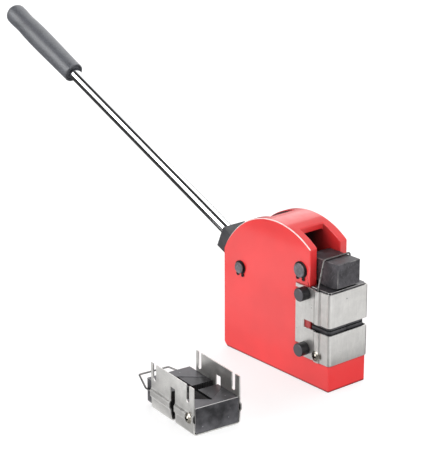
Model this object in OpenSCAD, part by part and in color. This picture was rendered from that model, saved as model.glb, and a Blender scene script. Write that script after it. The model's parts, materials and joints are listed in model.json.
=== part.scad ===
// Bench shrinker stretcher: a lever-worked C-frame with a changeable jaw set and a spare set beside it.
// X points forward to the jaws, Z is up, and the origin is the centre of the frame's underside.

/* [Frame] */
// Length of the frame's foot
base_l = 174; // [160:1:190]
// Width of the frame over its two cheeks
frame_w = 54.4; // [50:0.2:60]
// Thickness of each cheek
cheek_t = 10.5; // [8:0.5:12]
// Radius of the arched top
arch_r = 95.6; // [94:0.1:98]
// Arch centre, behind the foot's middle
arch_back = 0.7; // [-2:0.1:3]
// Arch centre, above the underside
arch_z = 77.8; // [76:0.1:80]
// Thickness of the web that joins the cheeks under the arch
web_t = 7; // [5:0.5:10]
// Rear edge of the web, ahead of the rear face
web_rear = 68; // [62:1:74]
// Front edge of the web, behind the front of the foot
web_front = 59.5; // [54:0.5:66]
// Height of the ledge that carries the jaw set
ledge_z = 31; // [26:1:34]
// Face of the column behind the jaws, behind the front of the foot
column_inset = 29.5; // [26:0.5:32]
// Thickness of the column
column_t = 26; // [18:1:30]
// How far the cheek noses stand back from the column's face
nose_step = 2; // [0:0.5:6]
// Thickness of the rear wall
rear_wall_t = 10; // [6:1:14]
// Top of the rear wall, under the lever
rear_wall_z = 92; // [70:1:96]
// Thickness of the foot's floor
floor_t = 16; // [12:1:24]
// Chamfer along the rear lower edge
foot_chamfer = 5; // [1:0.5:10]

/* [Bench holes] */
// Diameter of the tapped holes in the underside
bench_hole_d = 10; // [6:0.5:14]
// Spacing of the tapped holes along the foot
bench_hole_spacing = 100; // [70:1:120]

/* [Pivots] */
// Rear pivot pin, ahead of the rear face
rear_pin_inset = 29; // [26:0.5:32]
// Rear pivot pin, above the underside
rear_pin_z = 103.5; // [101:0.5:106]
// Diameter of the rear pivot pin
rear_pin_d = 13; // [10:0.5:14]
// Front pivot pin, behind the front of the foot
front_pin_inset = 45.4; // [43:0.1:48]
// Front pivot pin, above the underside
front_pin_z = 129; // [127:0.5:131]
// Diameter of the front pivot pin
front_pin_d = 16; // [12:0.5:18]
// How far a pin stands out of the cheek
pin_proud = 3.6; // [3:0.1:5]
// Thickness of a circlip
circlip_t = 1.3; // [1:0.1:1.6]
// Radial width of a circlip
circlip_w = 2.6; // [2:0.1:3.5]

/* [Lever] */
// Angle of the handle above the horizontal, with the jaws closed
handle_a = 23.2; // [20:0.1:26]
// Length of the hub block behind the rear pin
hub_l = 54; // [46:1:64]
// Height of the hub block
hub_h = 27.4; // [24:0.2:29]
// Distance from the rear pin to the drive roller
toe_r = 16; // [15:0.5:17]
// Swing of the handle
handle_swing = 60; // [50:1:64]
// Diameter of the drive roller
roller_d = 11; // [9:0.5:12]
// Diameter of the roller's pin
roller_pin_d = 6; // [5:0.5:7]
// Thickness of the rocker's tail, which runs between the hub's ears
tail_t = 14.2; // [10:0.2:16]

/* [Handle] */
// Diameter of the handle rod
rod_d = 14.3; // [12:0.1:18]
// Length of the handle from the rear pin to the end of the grip
handle_l = 531; // [350:1:650]
// Length of the grip
grip_l = 145; // [90:1:200]
// Diameter of the grip at its fullest
grip_d = 27.4; // [24:0.2:34]
// Depth of the grip's open mouth
grip_mouth = 7; // [3:0.5:15]

/* [Rocker] */
// Height of the rocker's head above the front pin
head_above = 15; // [13:0.5:18]
// Height of the rocker's head below the front pin
head_below = 14; // [13:0.5:15]
// Front face of the nose, ahead of the front of the foot
nose_front = 0.3; // [-6:0.1:6]
// Radius of the nose's rolling underside
nose_r = 51; // [45:1:60]
// Height of the rocker's tail and fork
tail_h = 22; // [20:0.5:24]

/* [Jaw set] */
// Thickness of the cover's steel sheet
sheet_t = 1.5; // [1:0.1:2]
// Length of the side plates behind the front of the foot
plate_l = 51.7; // [46:0.1:56]
// Top edge of the cover
cover_top_z = 113; // [108:0.5:114]
// Depth of the bead pressed into each side plate
bead_h = 1.8; // [1.6:0.1:2.4]
// Length of the bead's flat
bead_l = 6; // [4.5:0.5:8]
// Start of the bead behind the front of the foot
bead_inset = 22; // [20:0.5:25]
// Outside radius of the cover's front corners
corner_r = 4; // [3.5:0.5:8]
// Plane in which the jaws meet
throat_z = 70.5; // [69:0.5:72]
// Height of the throat slot in the cover
throat_h = 8.7; // [6:0.1:10]
// Rear end of the throat slot, behind the front of the foot
throat_l = 38; // [34:1:42]
// Slope of the holders' flanks
flank_a = 36; // [30:1:38]
// Least height of a jaw
jaw_h = 9.6; // [8.5:0.1:11]
// Spacing of the jaws' teeth
tooth_pitch = 2; // [1.5:0.1:3]
// Depth of the jaws' teeth
tooth_h = 0.6; // [0.3:0.1:1]
// Travel of a jaw along its flank
jaw_travel = 1.5; // [0.8:0.1:1.8]
// Outside diameter of a jaw spring
spring_d = 4.6; // [4:0.1:5]
// Wire of a jaw spring
spring_wire = 0.7; // [0.5:0.1:0.9]
// Turns of a jaw spring
spring_turns = 9; // [6:1:12]
// Wire of the lifting bail
bail_wire = 2; // [1.6:0.1:2.1]
// Bail crossbar, behind the front of the foot
bail_inset = 19; // [16:0.5:20]

/* [Screws] */
// Diameter of a thumb screw's knob
knob_d = 15; // [12:0.5:18]
// Length of a thumb screw's knob
knob_l = 11; // [8:0.5:14]
// Thread of a thumb screw
thumb_d = 5; // [4:0.5:5.5]
// Thumb screws, behind the column's face
thumb_inset = 6; // [5:0.5:8]
// Height of the lower thumb screws
thumb_low_z = 42; // [40:0.5:46]
// Height of the upper thumb screws
thumb_high_z = 106; // [100:0.5:106]
// Head of a cover screw
cover_screw_d = 9; // [7:0.5:10]
// Flange under the head of a cover screw
cover_flange_d = 12; // [10:0.5:12.5]
// Height of the cover screws
cover_screw_z = 38.5; // [38:0.5:44]

/* [Spare set] */
// Spare set's middle, ahead of the frame's centre
spare_x = 38.8; // [20:0.1:70]
// Spare set's middle, to the right of the frame's centre
spare_y = 171.3; // [150:0.1:220]
// Turn of the spare set on the bench
spare_turn = -6.2; // [-20:0.1:20]
// How far the spare set's upper holder is drawn out
spare_lift = 10; // [0:0.5:12]

/* [Hidden] */
$fn = 64;
// Gaps: a sliding face, a running pin, a close seat, and a cut past a face
slide_gap = 0.5;
run_gap = 0.1;
seat_gap = 0.1;
past = 1;

rear_x = -base_l / 2;
front_x = base_l / 2;
column_x = front_x - column_inset;
slot_w = frame_w - 2 * cheek_t;
arch_x = -arch_back;
arch_top = arch_z + arch_r;
// Room under the rocker for its swing
under_rocker = 7;
// Metal left over the bench holes
bench_hole_roof = 4;
column_top = front_pin_z - head_below - under_rocker;

rear_pin_x = rear_x + rear_pin_inset;
front_pin_x = front_x - front_pin_inset;
pin_dx = front_pin_x - rear_pin_x;
pin_dz = front_pin_z - rear_pin_z;
pin_gap = sqrt(pin_dx * pin_dx + pin_dz * pin_dz);
pin_line_a = atan2(pin_dz, pin_dx);
groove_d = 1;
// Shares of a circlip: its lugs by its width, the gap by its pin, a lug's hole by the lug
lug_share = 0.8;
gap_share = 0.36;
hole_share = 0.4;

hub_w = slot_w - 2 * slide_gap;
toe_w = hub_w - 2 * slide_gap;
ear_gap = tail_t + 2 * slide_gap;
ear_wall = 3;
ear_r = roller_d / 2 + ear_wall;
ear_slot_x = 1.5;
// The toe starts behind the pin's bore, inside the hub's round
toe_root = rear_pin_d * 0.6;
// The toe stands half the swing above the line between the pins when the jaws are closed
toe_rise = handle_swing / 2;
toe_local_a = pin_line_a + toe_rise + handle_a;
toe_along = pin_gap - toe_r * cos(toe_rise);
toe_across = toe_r * sin(toe_rise);
tail_a = pin_line_a - atan2(toe_across, toe_along);
toe_reach = sqrt(toe_along * toe_along + toe_across * toe_across);
fork_gap = 0.4;
fork_past = 4.2;
fork_depth = 9;
fork_tip = toe_reach + fork_past;
fork_root = toe_reach - fork_depth;
sleeve_r = pin_gap - fork_tip - slide_gap;
rod_depth = 32;
rod_start = hub_l - rod_depth;
rod_end = handle_l - grip_d / 4;
// The grip is slimmer at its mouth, fullest from full_start of its length, and domed at its end
grip_taper = 0.65;
waist_end = 0.45;
full_start = 0.8;
lip_w = 1.6;
lip_round = 0.6;
dome_depth = 0.55;
dome_edge = 0.6;

head_w = hub_w;
head_top_z = front_pin_z + head_above;
head_low_z = front_pin_z - head_below;
nose_x = front_x + nose_front;
// The nose bears on the holder this far behind its front face
nose_bear = 14.3;
nose_l = 32;
// The arm between the boss and the nose runs into the nose, and higher than its underside
arm_lap = 6;
arm_step = 3;

plate_y = frame_w / 2 + seat_gap;
holder_gap = 0.4;
// The holders stand this far behind the front of the foot, and the cover's sheet ahead of it
front_gap = 0.2;
// Gap under the rocker's nose
nose_gap = 0.3;
holder_half = frame_w / 2 - holder_gap;
holder_back = column_x + holder_gap;
holder_front = front_x - front_gap;
holder_top_z = head_low_z - nose_gap;
// The lower holder and the cover both stand on the ledge
holder_low_z = ledge_z + seat_gap;
cover_face_x = front_x + front_gap + sheet_t;
cover_low_z = holder_low_z;
cover_mid_z = (cover_low_z + cover_top_z) / 2;
// The bead slopes out from the plate, runs flat and slopes back
bead_x = front_x - bead_inset;
bead_side = 2;
bead_mid_x = bead_x + bead_side + bead_l / 2;
bead_end = bead_x + bead_side + bead_l;
// The jaws stay inside the cover at both ends of their travel
jaw_half = plate_y - slide_gap;
jaw_meet = 0.3;
jaw_slack = jaw_travel * cos(flank_a);
jaw_back = holder_back + holder_gap;
jaw_inset = 1;
jaw_front = holder_front - jaw_inset;
face_gap = 0.25;
flank_gap = 0.1;
spring_z = jaw_h / 2;
spring_bore = 12;
spring_gap = 0.25;
// The spring rides with the left jaw, so its far end needs room for both jaws' travel
spring_half = spring_bore - 2 * jaw_slack - slide_gap;
coil_steps = 10;
coil_sides = 6;

bail_x = front_x - bail_inset;
bail_y = holder_half + (bead_h + plate_y - holder_half) / 2;
bail_side_gap = 1.2;
bail_top_gap = 0.3;
bail_top_half = head_w / 2 + bail_wire / 2 + bail_side_gap;
bail_top_z = head_top_z + bail_wire / 2 + bail_top_gap;
bail_hook_drop = 8;
bail_hook_z = holder_top_z - bail_hook_drop;
bail_hook_l = 5;
bail_knee = 3;
bail_low_bend = 2;
bail_knee_bend = 2.4;
bail_top_bend = 3;
bail_sides = 8;
bend_steps = 4;

thumb_x = column_x - thumb_inset;
thumb_depth = 9;
thumb_slot_w = thumb_d + 1;
knob_bevel = 1.2;
plate_out_y = plate_y + sheet_t;
cover_screw_x = bead_mid_x;
cover_thread_d = 4;
cover_thread_l = 7;
cover_flange_t = 0.9;
cover_head_t = 2.6;
cover_bevel = 0.8;
recess_w = 1.3;
recess_d = 1.4;
recess_rim = 1.5;
lug_r = bead_l / 2 - holder_gap;
bead_out_y = plate_out_y + bead_h;

// Box from x0 to x1 and z0 to z1, centred across the tool
module slab(x0, x1, z0, z1, w) {
  translate([x0, -w / 2, z0])
    cube([x1 - x0, w, z1 - z0]);
}

// Round bar across the tool
module across(x, z, r, w) {
  translate([x, w / 2, z])
    rotate([90, 0, 0])
      cylinder(h = w, r = r);
}

// Section drawn in Y and Z, run from x0 to x1
module along_x(x0, x1) {
  translate([x0, 0, 0])
    rotate([90, 0, 90])
      linear_extrude(x1 - x0)
        children();
}

function unit(v) = v / norm(v);

// Direction of a path of points at point i
function heading(path, i) = unit(path[min(i + 1, len(path) - 1)] - path[max(i - 1, 0)]);

// Ring of points round a path at point i; ref is a direction that the path never takes
function ring(path, i, r, sides, ref) =
  let (t = heading(path, i), u = unit(ref - t * (t * ref)), v = cross(t, u))
  [for (k = [0:sides - 1]) path[i] + r * (cos(360 * k / sides) * u + sin(360 * k / sides) * v)];

// Points of a round bend at corner q, between p and s, that starts a length l from the corner
function bend(p, q, s, l) =
  let (a = q + l * unit(p - q), b = q + l * unit(s - q))
  [for (i = [0:bend_steps]) let (f = i / bend_steps) (1 - f) * (1 - f) * a + 2 * f * (1 - f) * q + f * f * b];

// Round wire swept along a path of points
module tube(path, r, sides, ref) {
  last = len(path) - 1;
  points = [for (i = [0:last]) each ring(path, i, r, sides, ref)];
  walls = [
    for (i = [0:last - 1], k = [0:sides - 1])
      let (a = i * sides + k, b = i * sides + (k + 1) % sides)
      each [[a, b, a + sides], [b, b + sides, a + sides]]
  ];
  start = [for (k = [1:sides - 2]) [0, k + 1, k]];
  end = [for (k = [1:sides - 2]) [last * sides, last * sides + k, last * sides + k + 1]];
  polyhedron(points, concat(walls, start, end));
}

module on_lever() {
  translate([rear_pin_x, 0, rear_pin_z])
    rotate([0, handle_a, 0])
      children();
}

module on_rocker() {
  translate([front_pin_x, 0, front_pin_z])
    children();
}

// The four corners of the thumb screw pattern
module at_thumb(side, z) {
  translate([thumb_x, side * plate_out_y, z])
    rotate([-90 * side, 0, 0])
      children();
}

// Moves a piece of the jaw set from its place on the frame to the bench beside it
module on_bench(lift = 0) {
  translate([spare_x, -spare_y, 0])
    rotate([0, 90, 180 + spare_turn])
      translate([-cover_face_x, 0, lift - cover_mid_z])
        children();
}

module frame_casting() {
  color("crimson")
  difference() {
    union() {
      slab(rear_x, front_x, 0, ledge_z, frame_w);
      slab(rear_x, column_x, 0, column_top, frame_w);
      intersection() {
        slab(rear_x, column_x - nose_step, ledge_z, arch_top + past, frame_w);
        across(arch_x, arch_z, arch_r, frame_w);
      }
    }
    intersection() {
      slab(rear_x + rear_wall_t, column_x - column_t, floor_t, arch_top, slot_w);
      across(arch_x, arch_z, arch_r - web_t, slot_w);
    }
    slab(rear_x - past, rear_x + web_rear, rear_wall_z, arch_top + past, slot_w);
    slab(front_x - web_front, column_x + past, column_top, arch_top + past, slot_w);
    across(rear_pin_x, rear_pin_z, rear_pin_d / 2 + run_gap, frame_w + past);
    across(front_pin_x, front_pin_z, front_pin_d / 2 + run_gap, frame_w + past);
    for (side = [-1, 1], z = [thumb_low_z, thumb_high_z])
      at_thumb(side, z)
        translate([0, 0, -thumb_depth - sheet_t - slide_gap])
          cylinder(h = thumb_depth + sheet_t + slide_gap, d = thumb_d + 2 * run_gap);
    for (side = [-1, 1])
      translate([side * bench_hole_spacing / 2, 0, -past])
        cylinder(h = floor_t - bench_hole_roof + past, d = bench_hole_d);
    translate([rear_x, 0, 0])
      rotate([0, 45, 0])
        cube([foot_chamfer * sqrt(2), frame_w + past, foot_chamfer * sqrt(2)], center = true);
  }
}

// Pin across both cheeks, grooved near each end for a circlip
module pivot_pin(x, z, d) {
  color("dimgray")
  difference() {
    across(x, z, d / 2, frame_w + 2 * pin_proud);
    for (side = [-1, 1])
      translate([0, side * (frame_w / 2 + seat_gap + circlip_t / 2), 0])
        difference() {
          across(x, z, d, circlip_t + seat_gap);
          across(x, z, d / 2 - groove_d, circlip_t + past);
        }
  }
}

module rear_pivot_pin() {
  pivot_pin(rear_pin_x, rear_pin_z, rear_pin_d);
}

module front_pivot_pin() {
  pivot_pin(front_pin_x, front_pin_z, front_pin_d);
}

// Spring ring with a gap at its foot and a holed lug on each side of the gap
module circlip(d) {
  lug_r = circlip_w * lug_share;
  ring_r = d / 2 + circlip_w - groove_d;
  inner_r = d / 2 - groove_d + seat_gap / 2;
  gap_w = d * gap_share;
  lug_x = gap_w / 2 + lug_r * lug_share;
  difference() {
    union() {
      across(0, 0, ring_r, circlip_t);
      for (side = [-1, 1])
        across(side * lug_x, -ring_r, lug_r, circlip_t);
    }
    across(0, 0, inner_r, circlip_t + past);
    slab(-gap_w / 2, gap_w / 2, -ring_r * 2, 0, circlip_t + past);
    for (side = [-1, 1])
      across(side * lug_x, -ring_r, lug_r * hole_share, circlip_t + past);
  }
}

module pivot_circlips() {
  color("black")
  for (side = [-1, 1])
    translate([0, side * (frame_w / 2 + seat_gap + circlip_t / 2), 0]) {
      translate([rear_pin_x, 0, rear_pin_z])
        circlip(rear_pin_d);
      translate([front_pin_x, 0, front_pin_z])
        circlip(front_pin_d);
    }
}

module lever_hub() {
  color("dimgray")
  on_lever()
  difference() {
    union() {
      slab(-hub_l, 0, -hub_h / 2, hub_h / 2, hub_w);
      across(0, 0, hub_h / 2, hub_w);
      rotate([0, -toe_local_a, 0]) {
        slab(-toe_root, toe_r, -ear_r, ear_r, toe_w);
        across(toe_r, 0, ear_r, toe_w);
      }
    }
    across(0, 0, rear_pin_d / 2 + run_gap, hub_w + past);
    rotate([0, -toe_local_a, 0]) {
      across(toe_r, 0, roller_pin_d / 2, hub_w + past);
      difference() {
        slab(ear_slot_x, toe_r + 2 * ear_r, -2 * hub_h, 2 * hub_h, ear_gap);
        across(0, 0, sleeve_r, ear_gap + past);
      }
    }
    rotate([0, -90, 0])
      translate([0, 0, rod_start])
        cylinder(h = hub_l, d = rod_d + seat_gap);
  }
}

module drive_roller() {
  color("silver")
  on_lever()
    rotate([0, -toe_local_a, 0])
      difference() {
        across(toe_r, 0, roller_d / 2, tail_t);
        across(toe_r, 0, roller_pin_d / 2 + run_gap, tail_t + past);
      }
}

module roller_pin() {
  color("gray")
  on_lever()
    rotate([0, -toe_local_a, 0])
      across(toe_r, 0, roller_pin_d / 2, toe_w);
}

module handle_rod() {
  color("gainsboro")
  on_lever()
    rotate([0, -90, 0])
      translate([0, 0, rod_start])
        cylinder(h = rod_end - rod_start, d = rod_d);
}

// Outline of the grip from its mouth to its domed end: radius and distance along the handle
function grip_outline() =
  let (
    mouth = handle_l - grip_l,
    r = grip_d / 2,
    lip_r = r - grip_taper,
    bore_r = rod_d / 2 + seat_gap / 2,
    dome_l = r * dome_depth
  )
  concat(
    [[bore_r, mouth + grip_mouth], [lip_r - lip_w, mouth + grip_mouth], [lip_r - lip_w, mouth]],
    [[lip_r - lip_round, mouth], [lip_r, mouth + lip_round]],
    [[lip_r, mouth + grip_l * waist_end], [r, mouth + grip_l * full_start]],
    [for (a = [0:15:75]) [r * (1 - dome_edge + dome_edge * cos(a)), handle_l - dome_l + dome_l * sin(a)]],
    [[0, handle_l], [0, rod_end + seat_gap], [bore_r, rod_end + seat_gap]]
  );

module handle_grip() {
  color("darkslategray")
  on_lever()
    rotate([0, -90, 0])
      rotate_extrude()
        polygon(grip_outline());
}

// Head with a rolling nose over the jaws, and a forked tail that the drive roller lifts
module rocker_arm() {
  color("black")
  difference() {
    union() {
      across(front_pin_x, front_pin_z, head_below, head_w);
      slab(front_pin_x, nose_x - nose_l + arm_lap, head_low_z + arm_step, head_top_z, head_w);
      intersection() {
        slab(nose_x - nose_l, nose_x, head_low_z, head_top_z, head_w);
        across(nose_x - nose_bear, head_low_z + nose_r, nose_r, head_w);
      }
      on_rocker()
        rotate([0, -tail_a, 0])
          slab(-fork_tip, 0, -tail_h / 2, tail_h / 2, tail_t);
    }
    across(front_pin_x, front_pin_z, front_pin_d / 2 + run_gap, head_w + past);
    on_rocker()
      rotate([0, -tail_a, 0]) {
        slab(-fork_tip - past, -fork_root, -roller_d / 2 - fork_gap, roller_d / 2 + fork_gap, tail_t + past);
        across(-fork_root, 0, roller_d / 2 + fork_gap, tail_t + past);
      }
  }
}

// One side of the cover's middle line, from the rear edge of a plate to the front face
function cover_side() =
  let (m = sheet_t / 2, r = corner_r - m, y = plate_y + m, x = cover_face_x - m)
  concat(
    [[front_x - plate_l, y], [bead_x, y]],
    [[bead_x + bead_side, y + bead_h], [bead_end, y + bead_h]],
    [[bead_end + bead_side, y]],
    [for (a = [0:15:90]) [x - r + r * sin(a), y - r + r * cos(a)]]
  );

function mirrored(path) = [for (i = [len(path) - 1:-1:0]) [path[i][0], -path[i][1]]];
function turned(v) = [-v[1], v[0]];

// A path moved sideways by d, with mitred corners
function beside(path, d) =
  let (n = len(path) - 1)
  [for (i = [0:n])
    let (
      a = turned(unit(i == 0 ? path[1] - path[0] : path[i] - path[i - 1])),
      b = turned(unit(i == n ? path[n] - path[n - 1] : path[i + 1] - path[i])),
      m = unit(a + b)
    )
    path[i] + m * d / (m * a)];

function reversed(path) = [for (i = [len(path) - 1:-1:0]) path[i]];

// Folded sheet with a throat slot, and an open slot at each thumb screw
module cover_shell() {
  path = concat(cover_side(), mirrored(cover_side()));
  difference() {
    translate([0, 0, cover_low_z])
      linear_extrude(cover_top_z - cover_low_z)
        polygon(concat(beside(path, sheet_t / 2), reversed(beside(path, -sheet_t / 2))));
    slab(front_x - throat_l, cover_face_x + past, throat_z - throat_h / 2, throat_z + throat_h / 2,
      2 * bead_out_y + past);
    for (side = [-1, 1], z = [thumb_low_z, thumb_high_z])
      translate([0, side * plate_y, 0]) {
        slab(front_x - plate_l - past, thumb_x, z - thumb_slot_w / 2, z + thumb_slot_w / 2, 4 * sheet_t);
        across(thumb_x, z, thumb_slot_w / 2, 4 * sheet_t);
      }
    for (side = [-1, 1])
      translate([0, side * bead_out_y, 0])
        across(cover_screw_x, cover_screw_z, cover_thread_d / 2 + run_gap, 4 * sheet_t);
  }
}

// Height of a jaw at a distance y from the middle: a valley's jaws are tallest there, a ridge's shortest
function jaw_depth(y, valley) = jaw_h + (valley ? holder_half - y : y) * tan(flank_a);

function holder_section(valley, reach) = [
  [-holder_half, -reach],
  [holder_half, -reach],
  [holder_half, -jaw_depth(holder_half, valley)],
  [0, -jaw_depth(0, valley)],
  [-holder_half, -jaw_depth(holder_half, valley)]
];

function holder_plan() =
  let (y = holder_half, x = holder_front, c = corner_r - sheet_t)
  [[holder_back, -y], [x - c, -y], [x, c - y], [x, y - c], [x - c, y], [holder_back, y]];

// Block with sloping flanks, its jaws' meeting plane at height 0 and its foot a reach below
module holder(valley, reach) {
  intersection() {
    along_x(holder_back, holder_front)
      polygon(holder_section(valley, reach));
    translate([0, 0, -reach - past])
      linear_extrude(reach + 2 * past)
        polygon(holder_plan());
  }
}

// Section of one jaw: a sloping foot, upright sides and a toothed face
function jaw_section(valley) =
  let (
    y0 = valley ? jaw_slack + jaw_meet : jaw_meet,
    y1 = valley ? jaw_half : jaw_half - jaw_slack,
    n = floor((y1 - y0) / tooth_pitch),
    p = (y1 - y0) / n,
    lift = flank_gap / cos(flank_a)
  )
  concat(
    [[y0, -jaw_depth(y0, valley) + lift], [y1, -jaw_depth(y1, valley) + lift]],
    [for (i = [n:-1:1]) each [[y0 + i * p, -face_gap - tooth_h], [y0 + (i - 0.5) * p, -face_gap]]],
    [[y0, -face_gap - tooth_h]]
  );

// Jaw on the left flank of a lower holder, drilled for the pair's spring
module jaw(valley) {
  corner = corner_r - sheet_t + jaw_slack;
  difference() {
    along_x(jaw_back, jaw_front)
      polygon(jaw_section(valley));
    translate([0, spring_bore / 2, -spring_z])
      across(bead_mid_x, 0, spring_d / 2 + spring_gap, spring_bore);
    translate([jaw_front, jaw_half, 0])
      rotate([0, 0, 45])
        cube([corner * sqrt(2), corner * sqrt(2), throat_z * 2], center = true);
  }
}

// Places a lower piece under the throat, or turns it over for the upper holder
module at_throat(upper) {
  translate([0, 0, throat_z])
    mirror([0, 0, upper ? 1 : 0])
      children();
}

module sided_jaw(side, upper, valley) {
  color("darkslategray")
  at_throat(upper)
    mirror([0, side < 0 ? 1 : 0, 0])
      jaw(valley);
}

// Middle line of the jaw spring's wire
function coil_path() =
  let (n = spring_turns * coil_steps, r = (spring_d - spring_wire) / 2, l = 2 * spring_half - spring_wire)
  [for (i = [0:n])
    let (a = 360 * i / coil_steps)
    [r * cos(a), l * (i / n - 0.5), r * sin(a)]];

// Points round the spring's wire at step i
function coil_ring(i) = ring(coil_path(), i, spring_wire / 2, coil_sides, [0, 1, 0]);

// Least distance from one ring of the wire's points to those of the turn after it
function coil_gap() =
  let (one = coil_ring(coil_steps))
  min([for (i = [coil_steps * 3 / 2:coil_steps * 5 / 2], q = coil_ring(i), p = one) norm(p - q)]);

module jaw_coil(upper) {
  color("silver")
  at_throat(upper)
    translate([bead_mid_x, 0, -spring_z])
      tube(coil_path(), spring_wire / 2, coil_sides, [0, 1, 0]);
}

module lower_holder(valley) {
  lug_l = bead_h + plate_y - holder_half - seat_gap / 2;
  color("dimgray")
  difference() {
    union() {
      at_throat(false)
        holder(valley, throat_z - holder_low_z);
      for (side = [-1, 1])
        translate([0, side * (holder_half + lug_l / 2 - past / 2), 0])
          across(cover_screw_x, cover_screw_z, lug_r, lug_l + past);
    }
    for (side = [-1, 1])
      translate([0, side * holder_half, 0])
        across(cover_screw_x, cover_screw_z, cover_thread_d / 2 + seat_gap / 2, 2 * (cover_thread_l + past));
  }
}

module upper_holder(valley) {
  color("dimgray")
  difference() {
    at_throat(true)
      holder(valley, holder_top_z - throat_z);
    for (side = [-1, 1])
      translate([0, side * holder_half, 0])
        across(bead_mid_x, bail_hook_z, bail_wire / 2 + slide_gap / 2, 2 * (bail_hook_l + slide_gap));
  }
}

// Right half of the bail's middle line, from its hook to the middle of its crossbar
function bail_side() =
  let (
    hook = [bead_mid_x, holder_half - bail_hook_l, bail_hook_z],
    low = [bead_mid_x, bail_y, bail_hook_z],
    knee = [bead_mid_x, bail_y, cover_top_z + bail_knee],
    top = [bail_x, bail_top_half, bail_top_z],
    middle = [bail_x, 0, bail_top_z]
  )
  concat([hook], bend(hook, low, knee, bail_low_bend), bend(low, knee, top, bail_knee_bend),
    bend(knee, top, middle, bail_top_bend));

// Wire bail: hooked into the holder's sides, up through the beads and over the rocker
module bail() {
  half = bail_side();
  other = [for (i = [len(half) - 1:-1:0]) [half[i][0], -half[i][1], half[i][2]]];
  color("silver")
  tube(concat(half, other), bail_wire / 2, bail_sides, [1, 0, 0]);
}

// Flanged pan head screw with a cross recess, on each side of the cover
module cover_screw_pair() {
  color("goldenrod")
  for (side = [-1, 1])
    translate([cover_screw_x, side * bead_out_y, cover_screw_z])
      rotate([-90 * side, 0, 0])
        difference() {
          union() {
            translate([0, 0, -sheet_t - cover_thread_l])
              cylinder(h = sheet_t + cover_thread_l + cover_bevel, d = cover_thread_d);
            cylinder(h = cover_flange_t, d = cover_flange_d);
            cylinder(h = cover_head_t - cover_bevel, d = cover_screw_d);
            translate([0, 0, cover_head_t - cover_bevel])
              cylinder(h = cover_bevel, d1 = cover_screw_d, d2 = cover_screw_d - 2 * cover_bevel);
          }
          for (a = [0, 90])
            rotate([0, 0, a])
              translate([0, 0, cover_head_t])
                cube([cover_screw_d - 2 * recess_rim, recess_w, 2 * recess_d], center = true);
        }
}

module thumb_screw(side, z) {
  color("black")
  at_thumb(side, z) {
    translate([0, 0, seat_gap]) {
      cylinder(h = knob_l - knob_bevel, d = knob_d);
      translate([0, 0, knob_l - knob_bevel])
        cylinder(h = knob_bevel, d1 = knob_d, d2 = knob_d - 2 * knob_bevel);
    }
    translate([0, 0, -thumb_depth - sheet_t])
      cylinder(h = thumb_depth + sheet_t + past, d = thumb_d);
  }
}

module jaw_cover() {
  color("silver")
  cover_shell();
}

module spare_jaw_cover() {
  color("silver")
  on_bench()
    cover_shell();
}

echo("least gap between spring turns", coil_gap());

frame_casting();
rear_pivot_pin();
front_pivot_pin();
pivot_circlips();
lever_hub();
drive_roller();
roller_pin();
handle_rod();
handle_grip();
rocker_arm();
thumb_screw(1, thumb_high_z);  // upper_left_thumb_screw
thumb_screw(-1, thumb_high_z);  // upper_right_thumb_screw
thumb_screw(1, thumb_low_z);  // lower_left_thumb_screw
thumb_screw(-1, thumb_low_z);  // lower_right_thumb_screw
jaw_cover();
cover_screw_pair();  // cover_screws
lower_holder(false);  // lower_jaw_holder
upper_holder(false);  // upper_jaw_holder
bail();  // lifting_bail
sided_jaw(1, false, false);  // lower_left_jaw
sided_jaw(-1, false, false);  // lower_right_jaw
sided_jaw(1, true, false);  // upper_left_jaw
sided_jaw(-1, true, false);  // upper_right_jaw
jaw_coil(false);  // lower_jaw_spring
jaw_coil(true);  // upper_jaw_spring
spare_jaw_cover();
on_bench() cover_screw_pair();  // spare_cover_screws
on_bench() lower_holder(true);  // spare_lower_jaw_holder
on_bench(spare_lift) upper_holder(true);  // spare_upper_jaw_holder
on_bench(spare_lift) bail();  // spare_lifting_bail
on_bench() sided_jaw(1, false, true);  // spare_lower_left_jaw
on_bench() sided_jaw(-1, false, true);  // spare_lower_right_jaw
on_bench(spare_lift) sided_jaw(1, true, true);  // spare_upper_left_jaw
on_bench(spare_lift) sided_jaw(-1, true, true);  // spare_upper_right_jaw
on_bench() jaw_coil(false);  // spare_lower_jaw_spring
on_bench(spare_lift) jaw_coil(true);  // spare_upper_jaw_spring
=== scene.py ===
"""Dresses a bench shrinker stretcher: paint, steel, rubber and wire over its packed construction."""

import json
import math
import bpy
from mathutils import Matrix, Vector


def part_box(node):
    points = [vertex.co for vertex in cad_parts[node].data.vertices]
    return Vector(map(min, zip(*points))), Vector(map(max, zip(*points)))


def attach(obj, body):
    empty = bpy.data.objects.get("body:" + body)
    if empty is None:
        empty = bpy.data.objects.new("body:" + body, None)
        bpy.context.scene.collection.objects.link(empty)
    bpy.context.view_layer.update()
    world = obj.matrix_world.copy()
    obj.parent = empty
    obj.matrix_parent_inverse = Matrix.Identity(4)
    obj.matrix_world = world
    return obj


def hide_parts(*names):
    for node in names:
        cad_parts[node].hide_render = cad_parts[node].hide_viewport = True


bl_info = {
    "name": "Shrinker Stretcher Looks",
    "version": (1, 0, 0),
    "blender": (4, 5, 0),
    "location": "3D View > Sidebar > Stretcher",
    "description": "Builds the finished pieces of a bench shrinker stretcher around its frame",
    "category": "Object",
}

import bmesh
import bpy
from bpy.props import FloatProperty, FloatVectorProperty, PointerProperty
from mathutils import Matrix, Vector

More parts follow.
